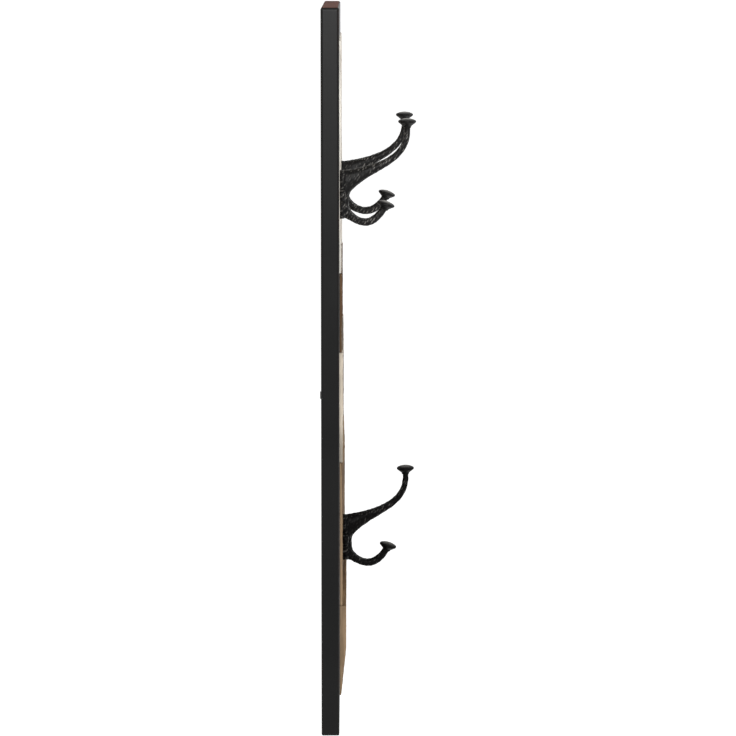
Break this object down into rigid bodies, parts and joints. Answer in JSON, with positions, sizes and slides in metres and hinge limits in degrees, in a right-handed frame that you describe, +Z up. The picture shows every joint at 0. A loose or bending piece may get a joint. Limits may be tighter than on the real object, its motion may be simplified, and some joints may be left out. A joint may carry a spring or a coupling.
{
  "type": "wall mirror with hooks",
  "caption": "Tall wall mirror: black mitred frame round weathered boards, a square mirror let into them, cast iron double hooks above and below, swinging rings behind to hang it by.",
  "frame": {"origin": "middle of the back, on the rear face of the cross batten, which is the wall plane", "axes": "+Y out of the back towards the wall, +Z up along the height, +X to the right of a person in the room who faces the mirror"},
  "size_m": [0.457, 0.1244, 0.914],
  "materials": {
    "frame_black": "satin black paint on wood, rubbed at the edges",
    "pale_boards": "matte, white-washed old board",
    "dark_boards": "matte, dark brown old board",
    "grey_boards": "matte, grey weathered board",
    "brown_boards": "matte, mid brown old board",
    "backer": "plain sheet, smooth",
    "batten": "planed softwood",
    "silvered_glass": "polished",
    "cast_iron": "hammered, semi-matte black",
    "black_fasteners": "blackened steel",
    "zinc": "zinc plated",
    "felt": "felt"
  },
  "bodies": {
    "panel": {"stile_left": "frame_black", "stile_right": "frame_black", "rail_top": "frame_black", "rail_bottom": "frame_black", "corner_splines": "backer", "backer_board": "backer", "back_batten": "batten", "plank_1": "pale_boards", "plank_2": "pale_boards", "plank_3_left": "dark_boards", "plank_3_right": "dark_boards", "plank_4_left": "grey_boards", "plank_4_right": "grey_boards", "plank_5": "brown_boards", "plank_6": "brown_boards", "mirror_glass": "silvered_glass", "bead_top": "frame_black", "bead_bottom": "frame_black", "bead_left": "frame_black", "bead_right": "frame_black", "hook_upper_left": "cast_iron", "hook_upper_right": "cast_iron", "hook_lower": "cast_iron", "hanger_strap_left": "zinc", "hanger_strap_right": "zinc", "wall_pads": "felt", "hook_screws": "black_fasteners", "hanger_screws": "zinc", "backer_screws": "zinc", "batten_screws": "zinc", "plank_nails": "black_fasteners"},
    "left_ring": {"ring_left": "zinc"},
    "right_ring": {"ring_right": "zinc"}
  },
  "joints": [
    {"name": "ring_left_swing", "type": "hinge", "parent": "panel", "child": "left_ring", "pos_m": [-0.15, -0.0052, 0.3], "axis": [-1, 0, 0], "range_deg": [0, 165]},
    {"name": "ring_right_swing", "type": "hinge", "parent": "panel", "child": "right_ring", "pos_m": [0.15, -0.0052, 0.3], "axis": [-1, 0, 0], "range_deg": [0, 165]}
  ]
}
